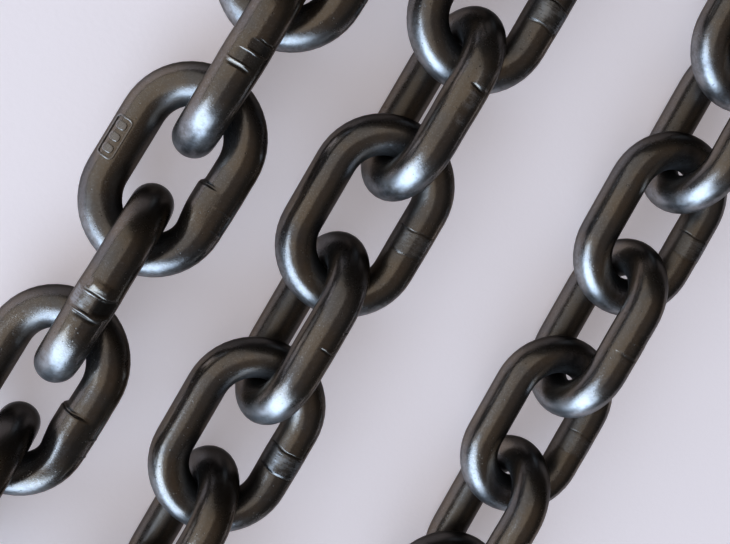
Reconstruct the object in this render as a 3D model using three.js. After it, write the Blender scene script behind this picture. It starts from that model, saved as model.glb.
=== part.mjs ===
// A length of welded short-link lifting chain, laid down in three runs side by side.
// Millimetres, +Z up. The runs go along Y, and the chain rests on the plane z = 0.
// Every link is a body of its own, threaded through its neighbours with a small clearance.
import * as THREE from 'three';

// Link
const WIRE = 10;
const INSIDE_LENGTH = 31.5;
const OUTSIDE_WIDTH = 35.6;
const SEAT_GAP = 0.35;

// Weld upset on one straight leg
const WELD_LENGTH = 5.4;
const WELD_RAMP = 0.7;
const WELD_SWELL = 1.04;

// Facets
const SECTION_SIDES = 8;
const SECTION_RADIUS = 5.13;
const CROWN_STEPS = 9;

// Fineness of the search for a link's place: points on a crown's centre line, and halvings
const CROWN_POINTS = 48;
const HALVINGS = 24;

// Runs in the order of the chain. Headings are degrees clockwise from +Y. The rolls of the
// flat and the upright links are degrees from level, rising towards the right of the heading.
// A flat link hangs by the sag in the eyes of the upright ones. Where weldOver is true, the
// flat links have their weld on the left.
const RUNS = [
  { links: 7, heading: 2, flatRoll: 28, uprightRoll: 100, sag: 1.5, weldOver: false },
  { links: 7, heading: 180, flatRoll: -10, uprightRoll: 94, sag: 0.1, weldOver: true },
  { links: 9, heading: -2, flatRoll: -1, uprightRoll: 85, sag: 1.5, weldOver: false },
];

// Headings of the links that turn the chain from each run into the next
const LOOPS = [
  [-4, 25, 75.5, 135.5, 200],
  [178, 150, 111.5, 55.5, 15.5],
];

const DEG = Math.PI / 180;
const UP = new THREE.Vector3(0, 0, 1);
const LEG_OFFSET = (OUTSIDE_WIDTH - WIRE) / 2;
const LEG_HALF = INSIDE_LENGTH / 2 + WIRE / 2 - LEG_OFFSET;
const APOTHEM = SECTION_RADIUS * Math.cos(Math.PI / SECTION_SIDES);

const steel = { color: 0x4a4642, roughness: 0.38, metalness: 0.9 };

// Radius of the crown's corner points that gives the many-sided crown the area of the round one
function crownRadius() {
  const step = Math.PI / CROWN_STEPS;
  return LEG_OFFSET * Math.sqrt(step / Math.sin(step));
}

// Stations round the link's centre line: place, outward direction and size of the section
function linkStations() {
  const stations = [];
  for (const end of [1, -1]) {
    for (let i = 0; i <= CROWN_STEPS; i += 1) {
      const angle = Math.PI * i / CROWN_STEPS;
      const out = new THREE.Vector3(end * Math.cos(angle), end * Math.sin(angle), 0);
      const place = out.clone().multiplyScalar(crownRadius());
      place.y += end * LEG_HALF;
      stations.push({ place, out, size: 1 });
    }
  }
  const half = WELD_LENGTH / 2;
  const weld = [[-half - WELD_RAMP, 1], [-half, WELD_SWELL], [half, WELD_SWELL], [half + WELD_RAMP, 1]];
  const right = new THREE.Vector3(1, 0, 0);
  for (const [y, size] of weld) {
    stations.push({ place: new THREE.Vector3(crownRadius(), y, 0), out: right, size });
  }
  return stations;
}

// One link in its own frame: X across, Y along, Z through its eye, the weld on the +X leg.
// The section is turned by an angle, so that a leaning link still has a facet underneath.
function linkGeometry(turn) {
  const stations = linkStations();
  const positions = [];
  const indices = [];
  stations.forEach(({ place, out, size }, ring) => {
    const here = ring * SECTION_SIDES;
    const next = ((ring + 1) % stations.length) * SECTION_SIDES;
    for (let k = 0; k < SECTION_SIDES; k += 1) {
      const angle = 2 * Math.PI * (k + 0.5) / SECTION_SIDES + (out.x < 0 ? -turn : turn);
      const radius = SECTION_RADIUS * size;
      const point = place.clone().addScaledVector(out, radius * Math.cos(angle));
      positions.push(point.x, point.y, radius * Math.sin(angle));
      const side = (k + 1) % SECTION_SIDES;
      indices.push(here + k, next + k, next + side, here + k, next + side, here + side);
    }
  });
  const geometry = new THREE.BufferGeometry();
  geometry.setAttribute('position', new THREE.Float32BufferAttribute(positions, 3));
  geometry.setIndex(indices);
  geometry.computeVertexNormals();
  return geometry;
}

// A link's placing: its centre, heading in degrees clockwise from +Y, and roll from level
function placing(heading, roll) {
  const along = new THREE.Vector3(Math.sin(heading * DEG), Math.cos(heading * DEG), 0);
  const side = new THREE.Vector3().crossVectors(along, UP);
  const across = side.multiplyScalar(Math.cos(roll * DEG)).addScaledVector(UP, Math.sin(roll * DEG));
  return { along, across, centre: new THREE.Vector3() };
}

// The centre line of a placed link's crown, as points
function crownLine({ centre, along, across }, sign) {
  const points = [];
  for (let i = 0; i <= CROWN_POINTS; i += 1) {
    const angle = Math.PI * i / CROWN_POINTS;
    points.push(centre.clone()
      .addScaledVector(along, sign * (LEG_HALF + LEG_OFFSET * Math.sin(angle)))
      .addScaledVector(across, LEG_OFFSET * Math.cos(angle)));
  }
  return points;
}

function nearest(pointsA, pointsB) {
  let least = Infinity;
  for (const a of pointsA) {
    for (const b of pointsB) {
      least = Math.min(least, a.distanceTo(b));
    }
  }
  return least;
}

// Draws a link out of the one before it until the two crowns clear each other by the seat gap
function seat(previous, link, pull) {
  const pivot = previous.centre.clone().addScaledVector(previous.along, LEG_HALF);
  const far = crownLine(previous, 1);
  let low = LEG_OFFSET;
  let high = 2 * LEG_OFFSET;
  const height = link.centre.z;
  for (let i = 0; i < HALVINGS; i += 1) {
    const reach = (low + high) / 2;
    link.centre.copy(pivot).addScaledVector(pull, reach).addScaledVector(link.along, LEG_HALF);
    link.centre.z = height;
    if (nearest(far, crownLine(link, -1)) > WIRE + SEAT_GAP) {
      low = reach;
    } else {
      high = reach;
    }
  }
}

// The whole chain as a list of placings, each link drawn out of the one before it
function layChain() {
  const links = [];
  const add = (heading, run) => {
    const upright = links.length % 2 === 1;
    const link = placing(heading, upright ? run.uprightRoll : run.flatRoll);
    link.sectionTurn = upright ? (90 - run.uprightRoll) * DEG : 0;
    link.weldOver = run.weldOver && !upright;
    link.centre.z = APOTHEM + crownRadius() * Math.sin(run.uprightRoll * DEG) - (upright ? 0 : run.sag);
    if (links.length > 0) {
      const previous = links[links.length - 1];
      seat(previous, link, upright ? link.along : previous.along);
    }
    links.push(link);
  };
  RUNS.forEach((run, index) => {
    for (let i = 0; i < run.links; i += 1) {
      add(run.heading, run);
    }
    const loop = LOOPS[index] ?? [];
    loop.forEach((heading, i) => {
      add(heading, between(run, RUNS[index + 1], (i + 1) / (loop.length + 1)));
    });
  });
  return links;
}

// The lie of a link part of the way from one run to the next
function between(run, next, part) {
  const mix = (name) => THREE.MathUtils.lerp(run[name], next[name], part);
  return { flatRoll: mix('flatRoll'), uprightRoll: mix('uprightRoll'), sag: mix('sag'), weldOver: false };
}

// A placed link as a mesh, its weld on the leg that the placing names
function linkMesh(link, name) {
  const { along, across, centre, sectionTurn, weldOver } = link;
  const mesh = new THREE.Mesh(linkGeometry(sectionTurn), new THREE.MeshStandardMaterial(steel));
  const x = across.clone().multiplyScalar(weldOver ? -1 : 1);
  const y = along.clone().multiplyScalar(weldOver ? -1 : 1);
  mesh.name = name;
  mesh.quaternion.setFromRotationMatrix(new THREE.Matrix4().makeBasis(x, y, x.clone().cross(y)));
  mesh.position.copy(centre);
  return mesh;
}

const chain = new THREE.Group();
layChain().forEach((link, index) => {
  chain.add(linkMesh(link, `link_${String(index + 1).padStart(2, '0')}`));
});

const box = new THREE.Box3().setFromObject(chain, true);
const middle = box.getCenter(new THREE.Vector3());
chain.position.set(-middle.x, -middle.y, -box.min.z);

export default chain;
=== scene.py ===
import math
import random

import bpy
import numpy as np
from mathutils import Matrix, Vector


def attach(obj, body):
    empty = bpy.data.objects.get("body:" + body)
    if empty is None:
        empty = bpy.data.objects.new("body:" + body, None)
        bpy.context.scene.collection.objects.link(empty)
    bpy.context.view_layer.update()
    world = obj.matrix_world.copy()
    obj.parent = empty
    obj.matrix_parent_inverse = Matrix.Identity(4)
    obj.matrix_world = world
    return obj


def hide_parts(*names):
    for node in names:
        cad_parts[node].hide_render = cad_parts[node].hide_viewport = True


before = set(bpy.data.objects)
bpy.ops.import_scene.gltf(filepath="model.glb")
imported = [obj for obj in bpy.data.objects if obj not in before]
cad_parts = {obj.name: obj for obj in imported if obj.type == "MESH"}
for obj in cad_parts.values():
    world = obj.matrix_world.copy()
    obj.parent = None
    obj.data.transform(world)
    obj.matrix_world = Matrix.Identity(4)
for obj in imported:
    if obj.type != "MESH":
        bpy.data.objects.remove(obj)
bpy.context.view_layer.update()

bl_info = {
    "name": "Lifting Chain Length",
    "version": (1, 0, 0),
    "blender": (4, 5, 0),
    "location": "View3D > Sidebar > Chain",
    "description":
        "Forges the links of a lifting chain, lays them in place, and sets up a studio for them",
    "category": "Add Mesh",
}

MM = 0.001

# The mesh of a link
BAR_SIDES = 56
CROWN_STEPS = 24
RING_STEP = 0.16 * MM
MERGE_DISTANCE = 0.01 * MM
LINK_SMOOTH_ANGLE = math.radians(60)

# A turn round a crown past which a point counts as on the far leg, with room for rounding
FAR_LEG_TURN = 0.999 * math.pi

# The part of a CAD link's half length beyond which a point belongs to a crown, clear of the weld
CROWN_SHARE = 0.6

# The raised mark, a rounded frame with three pads in it
MARKED_LINKS = ("link_05", "link_25")
MARK_LENGTH = 10.4 * MM
MARK_WIDTH = 4.8 * MM
MARK_HEIGHT = 0.52 * MM
MARK_LINE = 0.46 * MM
MARK_CORNER = 1.2 * MM
MARK_EDGE = 0.12 * MM
MARK_SMOOTH_ANGLE = math.radians(35)
CORNER_STEPS = 5
EDGE_STEPS = 2
FRAME_CUTS = 2
PAD_WIDTH = 2.9 * MM
PAD_LENGTH = 1.9 * MM
PAD_STEP = 2.95 * MM
PAD_CORNER = 0.45 * PAD_LENGTH
PAD_LINES = (0.2 * PAD_LENGTH, 0.15 * PAD_LENGTH)

# Where the mark lies: how deep it is sunk in, its shift along the leg, and its lean in radians
MARK_SINK = 0.2 * MM
MARK_PLACE = -0.3 * MM
MARK_LEAN = 0.2

# How much of the scale is rubbed off the mark
MARK_RUBBING = 0.25

# What welding and trimming leave on a leg. Each row is one form: its kind, where it starts and ends
# along the leg in mm, how far it takes to rise and to fall in mm, its middle and reach round the
# bar in degrees from the side away from the eye towards the top, and how far it stands out in mm.
# All but a swell wander a little. A patch and a scrape also show in the steel's finish, and a
# crease as painted shade.
WELDS = {
    "trimmed": [
        ("swell", -6.0, 6.0, 5.0, 5.0, 0, 400, 0.1),
        ("patch", -1.8, 1.3, 0.3, 0.3, -8, 38, -0.17),
        ("ridge", -2.2, -1.5, 0.35, 0.25, 19, 44, 0.21),
        ("crease", -3.4, -2.2, 0.8, 0.4, 2, 38, -0.3),
        ("ridge", 1.1, 1.7, 0.3, 0.3, -6, 32, 0.08),
        ("patch", 1.7, 4.4, 0.3, 0.5, -24, 36, -0.24),
        ("crease", 4.2, 4.9, 0.3, 0.4, -32, 28, -0.28),
    ],
    "nicked": [
        ("swell", -6.0, 6.0, 5.0, 5.0, 0, 400, 0.05),
        ("crease", -0.7, 0.0, 0.3, 0.3, -10, 26, -0.24),
        ("ridge", -0.1, 0.6, 0.3, 0.4, -8, 20, 0.16),
        ("crease", 5.5, 6.3, 0.3, 0.3, -46, 16, -0.3),
    ],
    "lipped": [
        ("swell", -6.0, 6.0, 5.0, 5.0, 0, 400, 0.12),
        ("ridge", 2.1, 5.6, 2.0, 1.5, 4, 34, 0.42),
        ("crease", 1.75, 2.35, 0.3, 0.3, -8, 62, -0.32),
        ("crease", -2.6, 2.2, 1.2, 0.8, -36, 34, -0.5),
        ("scrape", -2.4, 1.9, 0.4, 0.4, 33, 44, -0.2),
        ("ridge", -3.3, -2.3, 0.5, 0.3, 24, 42, 0.3),
        ("crease", -4.4, -3.0, 0.8, 0.5, -4, 42, -0.28),
    ],
    "bulged": [
        ("swell", -12.0, 3.9, 10.0, 1.4, 180, 105, 0.9),
        ("crease", 2.7, 3.15, 0.2, 0.2, 164, 86, -0.24),
        ("swell", -6.0, 7.0, 5.0, 4.0, 0, 400, 0.08),
        ("ridge", -1.0, -0.3, 0.3, 0.3, 42, 34, 0.11),
        ("ridge", -5.9, -5.2, 0.4, 0.3, 28, 34, 0.13),
    ],
    "banded": [
        ("swell", -6.0, 6.0, 5.0, 5.0, 0, 400, 0.06),
        ("patch", -2.9, 3.0, 0.4, 0.3, 100, 78, 0.14),
        ("scrape", -2.7, 2.8, 0.5, 0.4, 88, 58, 0.0),
        ("crease", 2.95, 3.4, 0.2, 0.2, 104, 80, -0.2),
        ("crease", -3.4, -2.9, 0.25, 0.2, 90, 62, -0.1),
    ],
    "finned": [
        ("swell", -6.0, 6.0, 5.0, 5.0, 0, 400, 0.08),
        ("crease", 3.0, 3.7, 0.3, 0.3, 2, 24, -0.3),
        ("scrape", 3.7, 7.2, 0.4, 1.6, -2, 24, 0.2),
        ("scrape", -3.0, 2.7, 3.0, 0.8, -2, 19, 0.1),
        ("scrape", -6.4, -3.0, 1.6, 1.4, -2, 15, 0.07),
    ],
}

# How the forms of a weld wander along the leg as they go round the bar. Each row is one set of
# waves: how many there are, how far they reach in mm, and by how much of the link's chance they
# are shifted.
WANDER = ((2, 0.26, 1), (5, 0.14, 3))

# The part of a form's reach round the bar that is its slope, and how dark the painted shade in a
# crease gets by the mm of its depth
SLOPE_SHARE = 0.45
CREASE_DARKNESS = 5

# Welds seen in the photograph: kind, shift along the leg in mm, turn round the bar in degrees
# and strength
SEEN_WELDS = {
    "link_03": ("bulged", -1.3, -30, 1.05),
    "link_04": ("lipped", -1.6, 0, 1.0),
    "link_05": ("bulged", -1.2, 0, 1.0),
    "link_06": ("trimmed", 0.0, 0, 1.0),
    "link_14": ("finned", 3.6, 0, 1.0),
    "link_15": ("banded", 0.0, 0, 0.6),
    "link_16": ("nicked", 0.5, 0, 0.9),
    "link_17": ("banded", 0.0, 0, 1.1),
    "link_29": ("banded", 0.0, 0, 0.35),
    "link_30": ("trimmed", 0.0, 0, 0.4),
}

# The other welds: a link stands upright where the axis of its eye rises by less than this, flat
# links have a bulged weld among the first few links and a banded one after them, and chance does
# the rest.
UPRIGHT_BELOW = 0.5
BULGED_LINKS = 9
CHANCE_SEED = 7
SHIFT_CHANCE = (-0.8, 0.8)
TURN_CHANCE = (-14, 14)
STRENGTH_CHANCE = (0.5, 1.1)
WANDER_CHANCE = (0, 6)

# The grains of the steel: scale, detail and roughness of each noise
GRAINS = {
    "clouds": (95.0, 3.0, 0.55),
    "uneven": (230.0, 2.0, 0.5),
    "mottle": (420.0, 4.0, 0.65),
    "drawn": (900.0, 2.0, 0.6),
    "peel": (1050.0, 2.0, 0.55),
    "ridges": (2600.0, 2.0, 0.6),
    "fine": (2900.0, 2.0, 0.6),
}
SPECKS_SCALE = 1150.0
DRAWN_STRETCH = (1.0, 1.0, 0.08)
RIDGES_STRETCH = (0.12, 1.0, 0.12)
PIT_COLOUR = (0.03, 0.026, 0.022, 1.0)
# Colour of the painted shade in the weld creases
CREASE_SHADE_COLOUR = (0.02, 0.017, 0.014, 1.0)
STEEL_METALLIC = 0.96
STEEL_EDGE_TINT = (0.35, 0.35, 0.35, 1.0)

# The floor
FLOOR_SIZE = 60
FLOOR_DROP = 0.15 * MM
FLOOR_ROUGHNESS = 0.75
FLOOR_GLOW = 0.315
FLOOR_GRAIN = 700.0
FLOOR_RELIEF = 0.1 * MM
FLOOR_RELIEF_STRENGTH = 0.3

# The lamps: place, point that it is turned to, width and height, and colour
LAMPS = {
    "window": ((-0.99, -2.97, 1.44), (0, 0, 0.01), (6.12, 2.88), (0.58, 0.76, 1.0)),
    "pane": ((-0.936, -2.808, 1.368), (0, 0, 0.01), (3.6, 1.98), (0.6, 0.78, 1.0)),
    "ceiling": ((-2.84, 0.2, 2.64), (0, 0, 0), (5.8, 5.88), (1.0, 0.95, 0.87)),
}

# The room: which way its pale side is, and from where to where its tones change, by how far a way
# through the room points to that side, and by how far it points up
PALE_SIDE_WAY = (-0.66, -0.7, -0.2)
PALE_SIDE_RAMP = (-0.2, 0.7)
OVERHEAD_RAMP = (0.5, 1.0)

# The camera of the photograph, its turn in degrees
CAMERA_PLACE = (-0.105431, 0.051418, 0.259287)
CAMERA_TURN = (-15.3863, -16.6699, 31.8086)
CAMERA_LENS = 52.86
CAMERA_SENSOR = 36
CAMERA_CLIP = 0.01


class ChainSizes(bpy.types.PropertyGroup):
    """The sizes of one link"""

    bar: bpy.props.FloatProperty(
        name="Bar", description="Diameter of the round bar", default=10 * MM, unit="LENGTH")
    leg_offset: bpy.props.FloatProperty(
        name="Leg offset", description="From the middle of the link to the middle of a leg",
        default=12.8 * MM, unit="LENGTH")
    leg_half: bpy.props.FloatProperty(
        name="Half leg", description="Half the length of a straight leg",
        default=7.95 * MM, unit="LENGTH")


class ChainFinish(bpy.types.PropertyGroup):
    """The colours of the blackened steel"""

    cool: bpy.props.FloatVectorProperty(
        name="Scale", description="Cool grey of the blackened surface",
        subtype="COLOR", size=4, default=(0.166, 0.156, 0.151, 1.0))
    warm: bpy.props.FloatVectorProperty(
        name="Heat tint", description="Brown tint left by the heat",
        subtype="COLOR", size=4, default=(0.208, 0.173, 0.138, 1.0))
    # Also the colour of the faces towards -Y, lightened partly as wear and partly as painted
    # highlight
    bare: bpy.props.FloatVectorProperty(
        name="Worn steel", description="Lighter steel where the scale has worn",
        subtype="COLOR", size=4, default=(0.47, 0.488, 0.515, 1.0))
    trimmed: bpy.props.FloatVectorProperty(
        name="Trimmed weld", description="Grey steel where a weld is trimmed",
        subtype="COLOR", size=4, default=(0.115, 0.12, 0.126, 1.0))
    # Colour of the painted shade on the side of the bar towards the eye and on the faces towards +Y
    inner: bpy.props.FloatVectorProperty(
        name="Inner side", description="Dull scale on the side towards the eye and on one end",
        subtype="COLOR", size=4, default=(0.045, 0.041, 0.038, 1.0))
    gloss: bpy.props.FloatProperty(
        name="Roughness", description="Roughness of the scale", default=0.1, subtype="FACTOR")


class ChainStudio(bpy.types.PropertyGroup):
    """The floor and the lights"""

    floor: bpy.props.FloatVectorProperty(
        name="Floor", description="Colour of the floor",
        subtype="COLOR", size=4, default=(0.95, 0.82, 0.8, 1.0))
    glow: bpy.props.FloatVectorProperty(
        name="Floor glow", description="Colour of the light that comes up through the floor",
        subtype="COLOR", size=4, default=(0.785, 0.74, 0.785, 1.0))
    pale_side: bpy.props.FloatVectorProperty(
        name="Pale side", description="Colour of the room on the window's side",
        subtype="COLOR", size=4, default=(0.24, 0.248, 0.27, 1.0))
    overhead: bpy.props.FloatVectorProperty(
        name="Overhead", description="Colour of the room above the chain",
        subtype="COLOR", size=4, default=(0.132, 0.107, 0.088, 1.0))
    dark_side: bpy.props.FloatVectorProperty(
        name="Dark side", description="Colour of the room away from the window",
        subtype="COLOR", size=4, default=(0.035, 0.031, 0.028, 1.0))
    window_power: bpy.props.FloatProperty(
        name="Window", description="Power of the large soft light", default=190.0, unit="POWER")
    pane_power: bpy.props.FloatProperty(
        name="Pane", description="Power of the smaller light in the window",
        default=40.0, unit="POWER")
    ceiling_power: bpy.props.FloatProperty(
        name="Ceiling", description="Power of the warm light overhead", default=38.4, unit="POWER")


class Signal:
    """A shader output that takes part in Python arithmetic, each step adding one Math node."""

    def __init__(self, finish, socket):
        self.finish = finish
        self.socket = socket

    def maths(self, operation, *values):
        return self.finish.add(
            "ShaderNodeMath", {"operation": operation}, dict(enumerate(values)))

    def __add__(self, other):
        return self.maths("ADD", self, other)

    __radd__ = __add__

    def __sub__(self, other):
        return self.maths("SUBTRACT", self, other)

    def __rsub__(self, other):
        return self.maths("SUBTRACT", other, self)

    def __mul__(self, other):
        return self.maths("MULTIPLY", self, other)

    __rmul__ = __mul__

    def size(self):
        return self.maths("ABSOLUTE", self)


class Finish:
    """The node tree of one material, or of the room."""

    def __init__(self, material):
        self.material = material
        self.material.use_nodes = True
        self.tree = self.material.node_tree
        self.tree.nodes.clear()

    def add(self, kind, settings, sockets, result=0):
        """Adds one node: its settings, then its sockets, then the output that is wanted."""
        node = self.tree.nodes.new(kind)
        for name, value in settings.items():
            setattr(node, name, value)
        for name, value in sockets.items():
            if isinstance(value, Signal):
                self.tree.links.new(value.socket, node.inputs[name])
            else:
                node.inputs[name].default_value = value
        return Signal(self, node.outputs[result]) if node.outputs else node

    def place(self, kind="Object"):
        """Where a point is on its piece or, with Generated in the room, which way it lies."""
        return self.add("ShaderNodeTexCoord", {}, {}, kind)

    def layer(self, name, result="Fac"):
        """A number, or as a Vector three numbers, that the mesh keeps for each point."""
        return self.add("ShaderNodeAttribute", {"attribute_name": name}, {}, result)

    def noise(self, place, scale, detail=2.0, roughness=0.5):
        return self.add("ShaderNodeTexNoise", {}, {
            "Vector": place, "Scale": scale, "Detail": detail, "Roughness": roughness})

    def ramp(self, value, low, high, to_low=0.0, to_high=1.0):
        return self.add("ShaderNodeMapRange", {"interpolation_type": "SMOOTHSTEP"}, {
            "Value": value, "From Min": low, "From Max": high,
            "To Min": to_low, "To Max": to_high})

    def mix(self, share, first, second):
        """A colour between two others. Sockets 6 and 7 and output 2 are the node's colours."""
        return self.add(
            "ShaderNodeMix", {"data_type": "RGBA"}, {0: share, 6: first, 7: second}, 2)

    def parts(self, vector):
        node = self.add("ShaderNodeSeparateXYZ", {}, {"Vector": vector}).socket.node
        return [Signal(self, output) for output in node.outputs]

    def stretched(self, vector, scale):
        return self.add(
            "ShaderNodeMapping", {"vector_type": "POINT"}, {"Vector": vector, "Scale": scale})

    def bump(self, height, distance, strength, normal=None):
        sockets = {"Height": height, "Distance": distance, "Strength": strength}
        if normal is not None:
            sockets["Normal"] = normal
        return self.add("ShaderNodeBump", {}, sockets)

    def surface(self, sockets):
        """Ends the tree in a Principled shader, and gives the finished material."""
        shader = self.add("ShaderNodeBsdfPrincipled", {}, sockets)
        self.add("ShaderNodeOutputMaterial", {}, {"Surface": shader})
        return self.material


def blackened_steel(name, rubbed):
    """Heat-blackened steel: cool scale with a brown tint, grain and pits, darkened with painted
    shade on the side towards the eye, on the faces towards +Y and in the weld creases, lightened
    towards
    -Y partly by wear and partly as painted highlight, and with what the weld left on it."""
    look = bpy.context.scene.chain_finish
    finish = Finish(bpy.data.materials.new(name))
    place = finish.place()
    along_bar = finish.layer("bar", "Vector")
    in_link = finish.layer("in_link", "Vector")
    patch, scrape, crease_shade = (finish.layer(trace) for trace in ("patch", "scrape", "crease"))
    end_face = finish.layer("end_face")

    clouds = finish.noise(place, *GRAINS["clouds"])
    uneven = finish.noise(place, *GRAINS["uneven"])
    mottle = finish.noise(place, *GRAINS["mottle"])
    peel = finish.noise(place, *GRAINS["peel"])
    fine = finish.noise(place, *GRAINS["fine"])
    drawn = finish.noise(finish.stretched(along_bar, DRAWN_STRETCH), *GRAINS["drawn"])
    ridges = finish.noise(finish.stretched(in_link, RIDGES_STRETCH), *GRAINS["ridges"])
    specks = finish.add("ShaderNodeTexVoronoi", {}, {"Vector": place, "Scale": SPECKS_SCALE})

    pits = finish.ramp(specks, 0.06, 0.26, 1.0, 0.0) * finish.ramp(mottle, 0.5, 0.6)
    scraped = finish.ramp(mottle + 0.6 * ridges + 0.3 * clouds, 0.72, 1.12) * scrape
    heat = finish.ramp(finish.parts(in_link)[1].size(), 2 * MM, 9 * MM, 1.0, 0.0)
    # Painted shade: faces that point towards the link's +Y end are darkened
    far_end_shade = finish.ramp(end_face, 0.2, 0.75)
    # Partly wear and partly painted highlight: faces that point towards the link's -Y end are
    # lighter, in patches, and rougher
    end_wear_and_highlight = finish.ramp(end_face, -0.05, -0.65)
    worn = finish.ramp(clouds + 0.5 * mottle + 0.5 * peel, 0.65, 1.25) * end_wear_and_highlight
    # Painted shade: the side of the bar towards the eye is darkened, except where the painted
    # highlight falls
    inner = finish.ramp(finish.parts(along_bar)[0], -1.0 * MM, -4.6 * MM) * (1.0 - end_wear_and_highlight)

    colour = finish.mix(finish.ramp(clouds, 0.35, 0.65), look.cool, look.warm)
    # Each coat over the last: how much of it shows, and its colour
    coats = (
        (0.4 * heat, look.warm),
        (0.75 * patch, look.trimmed),
        (0.6 * scraped, look.bare),
        # Partly wear, partly painted highlight on the faces towards -Y
        (0.7 * worn, look.bare),
        (rubbed, look.bare),
        (0.3 * finish.ramp(fine, 0.5, 0.75), look.bare),
        (0.6 * pits, PIT_COLOUR),
        # Painted shade on the side of the bar towards the eye
        (0.5 * inner, look.inner),
        # Painted shade on the faces towards +Y
        (0.85 * far_end_shade, look.inner),
        # Painted shade in the weld creases, darker the deeper they are
        (0.85 * crease_shade, CREASE_SHADE_COLOUR),
    )
    for share, coat in coats:
        colour = finish.mix(share, colour, coat)

    rough = look.gloss + 0.14 * mottle + 0.08 * fine + 0.14 * end_wear_and_highlight + 0.1 * pits
    rough = rough + 0.2 * crease_shade + 0.12 * scraped + 0.14 * inner + 0.1 * far_end_shade

    # Each relief on the last: what it follows, how high it is, and its strength
    relief = (
        (clouds, 0.35 * MM, 0.22),
        (uneven, 0.12 * MM, 0.16),
        (mottle, 0.1 * MM, 0.27),
        (drawn, 0.02 * MM, 0.4),
        (peel, 0.045 * MM, 0.3),
        (fine, 0.03 * MM, 0.5),
        (0.0 - pits, 0.08 * MM, 0.55),
        (ridges * (patch + scrape), 0.07 * MM, 0.5),
    )
    normal = None
    for height, distance, strength in relief:
        normal = finish.bump(height, distance, strength, normal)

    return finish.surface({
        "Base Color": colour, "Roughness": rough, "Normal": normal,
        "Metallic": STEEL_METALLIC, "Specular Tint": STEEL_EDGE_TINT})


def pale_floor():
    """A matt pale floor, lit a little from below as a light table is."""
    studio = bpy.context.scene.chain_studio
    finish = Finish(bpy.data.materials.new("pale_floor"))
    grain = finish.noise(finish.place(), FLOOR_GRAIN)
    return finish.surface({
        "Base Color": studio.floor, "Roughness": FLOOR_ROUGHNESS,
        "Emission Color": studio.glow, "Emission Strength": FLOOR_GLOW,
        "Normal": finish.bump(grain, FLOOR_RELIEF, FLOOR_RELIEF_STRENGTH)})


def all_free():
    """Leaves edit mode and selects nothing."""
    if bpy.context.object and bpy.context.object.mode != "OBJECT":
        bpy.ops.object.mode_set(mode="OBJECT")
    bpy.ops.object.select_all(action="DESELECT")


def all_points():
    """Selects the whole mesh in edit mode."""
    bpy.ops.mesh.select_all(action="SELECT")


def forge_link(name):
    """One link in its own frame: X across, Y along, Z through its eye, the weld on the +X leg."""
    sizes = bpy.context.scene.chain_sizes
    leg, half = sizes.leg_offset, sizes.leg_half
    all_free()
    bpy.ops.mesh.primitive_circle_add(
        vertices=BAR_SIDES, radius=sizes.bar / 2, location=(leg, half, 0),
        rotation=(math.pi / 2, 0, 0))
    link = bpy.context.object
    link.name = name
    bpy.ops.object.transform_apply(location=True, rotation=True, scale=True)
    bpy.ops.object.mode_set(mode="EDIT")
    all_points()
    bpy.ops.mesh.spin(steps=CROWN_STEPS, angle=math.pi, center=(0, half, 0), axis=(0, 0, -1))
    bpy.ops.mesh.extrude_region_move(TRANSFORM_OT_translate={"value": (0, -2 * half, 0)})
    bpy.ops.mesh.spin(steps=CROWN_STEPS, angle=math.pi, center=(0, -half, 0), axis=(0, 0, -1))
    rings = math.ceil(2 * half / RING_STEP)
    for _ in range(rings):
        bpy.ops.mesh.extrude_region_move(TRANSFORM_OT_translate={"value": (0, 2 * half / rings, 0)})
    all_points()
    bpy.ops.mesh.remove_doubles(threshold=MERGE_DISTANCE)
    bpy.ops.mesh.normals_make_consistent(inside=False)
    bpy.ops.object.mode_set(mode="OBJECT")
    bpy.ops.object.shade_smooth_by_angle(angle=LINK_SMOOTH_ANGLE)
    return link


def eased(value):
    """A step from 0 to 1 with soft ends."""
    value = np.clip(value, 0, 1)
    return value * value * (3 - 2 * value)


def keep_layer(thing, name, values):
    """Keeps one number, or three, for every point of a mesh."""
    kind, field = ("FLOAT", "value") if values.ndim == 1 else ("FLOAT_VECTOR", "vector")
    layer = thing.data.attributes.new(name, kind, "POINT")
    layer.data.foreach_set(field, values.astype(np.float32).ravel())


def bar_places(points):
    """The bar's middle beside each point, the way out from it, and how far along the bar it is."""
    sizes = bpy.context.scene.chain_sizes
    end = np.where(points[:, 1] < 0, -1.0, 1.0)
    past_leg = np.maximum(np.abs(points[:, 1]) - sizes.leg_half, 0)
    turn = np.arctan2(past_leg, points[:, 0])
    outward = np.stack([np.cos(turn), end * np.sin(turn), np.zeros(len(points))], axis=1)
    middle = sizes.leg_offset * outward
    middle[:, 1] += np.clip(points[:, 1], -sizes.leg_half, sizes.leg_half)
    on_leg = np.minimum(np.abs(points[:, 1]), sizes.leg_half)
    past_crown = turn > FAR_LEG_TURN
    far_leg = past_crown * (sizes.leg_half - on_leg)
    near_leg = np.where(past_crown, sizes.leg_half, on_leg)
    return middle, outward, end * (near_leg + sizes.leg_offset * turn + far_leg)


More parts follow.
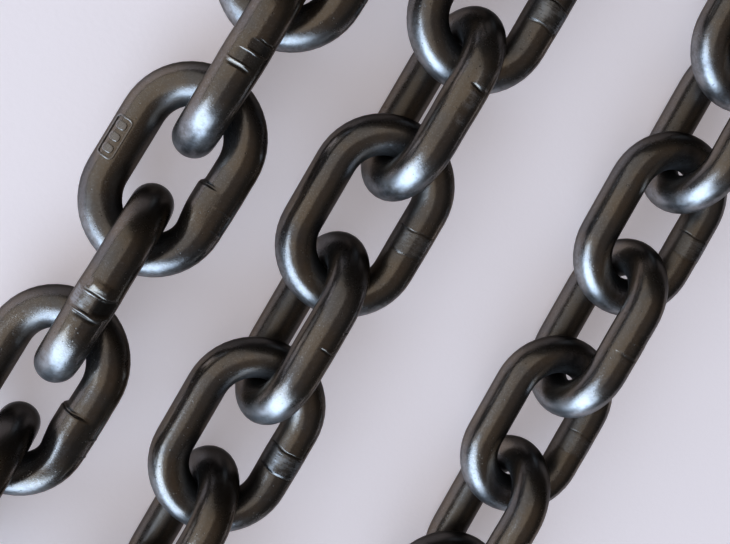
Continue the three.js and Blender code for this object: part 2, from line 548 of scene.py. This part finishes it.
def press_weld(link, weld, shift, turn, strength, chance):
    """Presses the forms of one weld into its leg, and keeps where it is trimmed, scraped and
    creased."""
    sizes = bpy.context.scene.chain_sizes
    here = np.empty(3 * len(link.data.vertices), np.float32)
    link.data.vertices.foreach_get("co", here)
    here = here.reshape(-1, 3)
    middle, outward, length = bar_places(here)
    reach = here - middle
    angle = np.degrees(np.arctan2(reach[:, 2], (reach * outward).sum(axis=1))) - turn
    round_bar = np.radians(angle)
    wander = sum(far * np.sin(waves * round_bar + part * chance) for waves, far, part in WANDER)
    place = length / MM - shift
    stand = np.zeros(len(here))
    traces = {name: np.zeros(len(here)) for name in ("patch", "scrape", "crease")}
    for form, low, high, rise, fall, centre, breadth, height in WELDS[weld]:
        away = np.abs((angle - centre + 180) % 360 - 180)
        spot = place + (0 if form == "swell" else wander)
        share = (
            eased((breadth - away) / (SLOPE_SHARE * breadth))
            * eased((spot - low) / rise)
            * eased((high - spot) / fall))
        stand += strength * height * share
        if form in traces:
            depth = CREASE_DARKNESS * abs(height) if form == "crease" else 1
            traces[form] = np.maximum(traces[form], min(1.0, depth * strength) * share)
    here = middle + reach * (1 + stand * MM / (sizes.bar / 2))[:, None]
    link.data.vertices.foreach_set("co", here.astype(np.float32).ravel())
    for name, values in traces.items():
        keep_layer(link, name, values)


def points_of(thing):
    """The points of a mesh as an array."""
    return np.array([vertex.co for vertex in thing.data.vertices])


def mark_places(thing):
    """Keeps each point's place in the link's own frame, its place round and along the bar, and how
    far it faces the link's one end or the other."""
    sizes = bpy.context.scene.chain_sizes
    here = points_of(thing)
    middle, outward, length = bar_places(here)
    out = ((here - middle) * outward).sum(axis=1)
    keep_layer(thing, "in_link", here)
    keep_layer(thing, "bar", np.stack([out, here[:, 2], np.abs(length)], axis=1))
    keep_layer(thing, "end_face", out * outward[:, 1] * 2 / sizes.bar)


def raise_mark(name):
    """A rounded frame with three oval pads in it, made flat and then wrapped on the plain leg."""
    sizes = bpy.context.scene.chain_sizes
    all_free()
    bpy.ops.mesh.primitive_plane_add(size=1)
    mark = bpy.context.object
    mark.name = name
    mark.dimensions = (MARK_WIDTH, MARK_LENGTH, 0)
    bpy.ops.object.transform_apply(location=True, rotation=True, scale=True)
    bpy.ops.object.mode_set(mode="EDIT")
    all_points()
    bpy.ops.mesh.bevel(affect="VERTICES", offset=MARK_CORNER, segments=CORNER_STEPS)
    all_points()
    bpy.ops.mesh.subdivide(number_cuts=FRAME_CUTS)
    bpy.ops.mesh.inset(thickness=MARK_LINE)
    bpy.ops.mesh.delete(type="FACE")
    for row in (-1, 0, 1):
        middle = (0, row * PAD_STEP, 0)
        bpy.ops.mesh.primitive_plane_add(size=1, location=middle)
        bpy.ops.transform.resize(value=(PAD_WIDTH, PAD_LENGTH, 1), center_override=middle)
        bpy.ops.mesh.bevel(affect="VERTICES", offset=PAD_CORNER, segments=CORNER_STEPS)
        for line in PAD_LINES:
            bpy.ops.mesh.inset(thickness=line)
    all_points()
    bpy.ops.mesh.extrude_region_move(TRANSFORM_OT_translate={"value": (0, 0, MARK_HEIGHT)})
    bpy.ops.mesh.region_to_loop()
    bpy.ops.mesh.bevel(affect="EDGES", offset=MARK_EDGE, segments=EDGE_STEPS)
    all_points()
    bpy.ops.mesh.remove_doubles(threshold=MERGE_DISTANCE)
    bpy.ops.mesh.dissolve_degenerate(threshold=MERGE_DISTANCE)
    all_points()
    bpy.ops.mesh.normals_make_consistent(inside=False)
    bpy.ops.object.mode_set(mode="OBJECT")
    for vertex in mark.data.vertices:
        turn = vertex.co.x / (sizes.bar / 2) - MARK_LEAN
        reach = sizes.bar / 2 + vertex.co.z - MARK_SINK
        vertex.co = (
            reach * math.sin(turn) - sizes.leg_offset,
            vertex.co.y + MARK_PLACE,
            reach * math.cos(turn))
    bpy.ops.object.shade_smooth_by_angle(angle=MARK_SMOOTH_ANGLE)
    return mark


def cad_link(name):
    """The CAD node of a link."""
    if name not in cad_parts:
        raise RuntimeError(f"the CAD has no {name}")
    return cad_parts[name]


def cad_place(node):
    """The frame of a CAD link, from its points: its long axis, its broad one, and its weld side."""
    points = points_of(node)
    middle = (points.max(axis=0) + points.min(axis=0)) / 2
    _, axes = np.linalg.eigh(np.cov((points - middle).T))
    along, across = axes[:, 2], axes[:, 1]
    if along[1] < 0:
        along = -along
    reach = (points - middle) @ along
    centre_along = (reach.max() + reach.min()) / 2
    crowns = np.abs(reach - centre_along) > CROWN_SHARE * (reach.max() - centre_along)
    breadth = (points - middle) @ across
    centre_across = breadth[crowns].mean()
    if breadth.mean() < centre_across:
        across, centre_across = -across, -centre_across
    through = np.cross(across, along)
    depth = (points - middle) @ through
    centre = middle + along * centre_along + across * centre_across + through * depth.mean()
    turn = Matrix([across, along, through]).transposed().to_4x4()
    return Matrix.Translation(Vector(centre)) @ turn


def weld_of(name, index, place, dice):
    """The weld of a link: kind, shift along the leg, turn round the bar, and strength."""
    shift = dice.uniform(*SHIFT_CHANCE)
    turn = dice.uniform(*TURN_CHANCE)
    strength = dice.uniform(*STRENGTH_CHANCE)
    if name in SEEN_WELDS:
        return SEEN_WELDS[name]
    if abs(place.col[2][2]) < UPRIGHT_BELOW:
        return "trimmed", shift, turn, strength
    return "bulged" if index < BULGED_LINKS else "banded", shift, turn, strength


def copy_of(model, name, context):
    """A copy of a model, with a mesh and a name of its own."""
    piece = model.copy()
    piece.data = model.data.copy()
    piece.name = name
    context.collection.objects.link(piece)
    return piece


class CHAIN_OT_links(bpy.types.Operator):
    """Forges the links and lays one in the place of every CAD link"""

    bl_idname = "chain.links"
    bl_label = "Links"

    def execute(self, context):
        names = sorted(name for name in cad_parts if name.startswith("link_"))
        if not names:
            raise RuntimeError("the CAD has no links")
        dice = random.Random(CHANCE_SEED)
        model = forge_link("link_model")
        mark_places(model)
        model.data.materials.append(blackened_steel("blackened_steel", 0.0))
        for index, name in enumerate(names):
            place = cad_place(cad_link(name))
            link = copy_of(model, f"steel_{name}", context)
            weld = weld_of(name, index, place, dice)
            press_weld(link, *weld, dice.uniform(*WANDER_CHANCE))
            link.data.transform(place)
            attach(link, "root")
            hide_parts(name)
        bpy.data.objects.remove(model)
        return {"FINISHED"}


class CHAIN_OT_marks(bpy.types.Operator):
    """Raises a plain framed mark on the leg opposite the weld of a few links"""

    bl_idname = "chain.marks"
    bl_label = "Grade marks"

    def execute(self, context):
        model = raise_mark("mark_model")
        mark_places(model)
        model.data.materials.append(blackened_steel("rubbed_steel", MARK_RUBBING))
        for name in MARKED_LINKS:
            place = cad_place(cad_link(name))
            mark = copy_of(model, f"grade_mark_{name}", context)
            mark.data.transform(place)
            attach(mark, "root")
        bpy.data.objects.remove(model)
        return {"FINISHED"}


class CHAIN_OT_studio(bpy.types.Operator):
    """Adds the floor, the lights and the camera"""

    bl_idname = "chain.studio"
    bl_label = "Studio"

    def execute(self, context):
        all_free()
        bpy.ops.mesh.primitive_plane_add(size=FLOOR_SIZE, location=(0, 0, -FLOOR_DROP))
        floor = context.object
        floor.name = "floor"
        floor.data.materials.append(pale_floor())

        context.scene.world = self.room()
        context.scene.view_settings.view_transform = "Standard"

        for name, (place, aim, size, colour) in LAMPS.items():
            power = getattr(context.scene.chain_studio, f"{name}_power")
            self.lamp(name, place, aim, size, power, colour)

        bpy.ops.object.camera_add(
            location=CAMERA_PLACE, rotation=[math.radians(turn) for turn in CAMERA_TURN])
        camera = context.object
        camera.name = "camera"
        camera.data.sensor_width = CAMERA_SENSOR
        camera.data.lens = CAMERA_LENS
        camera.data.clip_start = CAMERA_CLIP
        context.scene.camera = camera
        return {"FINISHED"}

    def room(self):
        """A room pale on the window's side, dark on the other, and warm grey overhead."""
        studio = bpy.context.scene.chain_studio
        world = bpy.data.worlds.new("room")
        finish = Finish(world)
        towards = finish.place("Generated")
        pale = finish.add(
            "ShaderNodeVectorMath", {"operation": "DOT_PRODUCT"},
            {0: towards, 1: PALE_SIDE_WAY}, "Value")
        height = finish.parts(towards)[2]
        colour = finish.mix(
            finish.ramp(pale, *PALE_SIDE_RAMP), studio.dark_side, studio.pale_side)
        colour = finish.mix(finish.ramp(height, *OVERHEAD_RAMP), colour, studio.overhead)
        light = finish.add("ShaderNodeBackground", {}, {"Color": colour, "Strength": 1.0})
        finish.add("ShaderNodeOutputWorld", {}, {"Surface": light})
        return world

    def lamp(self, name, place, aim, size, power, colour):
        """A rectangular lamp at a place, turned to the point that it is aimed at."""
        away = Vector(place) - Vector(aim)
        bpy.ops.object.light_add(
            type="AREA", location=place, rotation=away.to_track_quat("Z", "Y").to_euler())
        lamp = bpy.context.object
        lamp.name = name
        lamp.data.shape = "RECTANGLE"
        lamp.data.size, lamp.data.size_y = size
        lamp.data.energy = power
        lamp.data.color = colour


class CHAIN_PT_panel(bpy.types.Panel):
    """Lists the sizes, the looks and the steps that make the chain"""

    bl_idname = "CHAIN_PT_panel"
    bl_label = "Lifting chain"
    bl_space_type = "VIEW_3D"
    bl_region_type = "UI"
    bl_category = "Chain"

    def draw(self, context):
        for name in GROUPS:
            group = getattr(context.scene, name)
            box = self.layout.box()
            for prop in group.__annotations__:
                box.prop(group, prop)
        for step in STEPS:
            self.layout.operator(step.bl_idname)


STEPS = (CHAIN_OT_links, CHAIN_OT_marks, CHAIN_OT_studio)
GROUPS = {"chain_sizes": ChainSizes, "chain_finish": ChainFinish, "chain_studio": ChainStudio}
CLASSES = (*GROUPS.values(), *STEPS, CHAIN_PT_panel)


def register():
    for kind in CLASSES:
        bpy.utils.register_class(kind)
    for name, group in GROUPS.items():
        setattr(bpy.types.Scene, name, bpy.props.PointerProperty(type=group))


def unregister():
    for name in GROUPS:
        delattr(bpy.types.Scene, name)
    for kind in reversed(CLASSES):
        bpy.utils.unregister_class(kind)


def main():
    register()
    bpy.ops.chain.links()
    bpy.ops.chain.marks()
    bpy.ops.chain.studio()


if __name__ == "__main__":
    main()
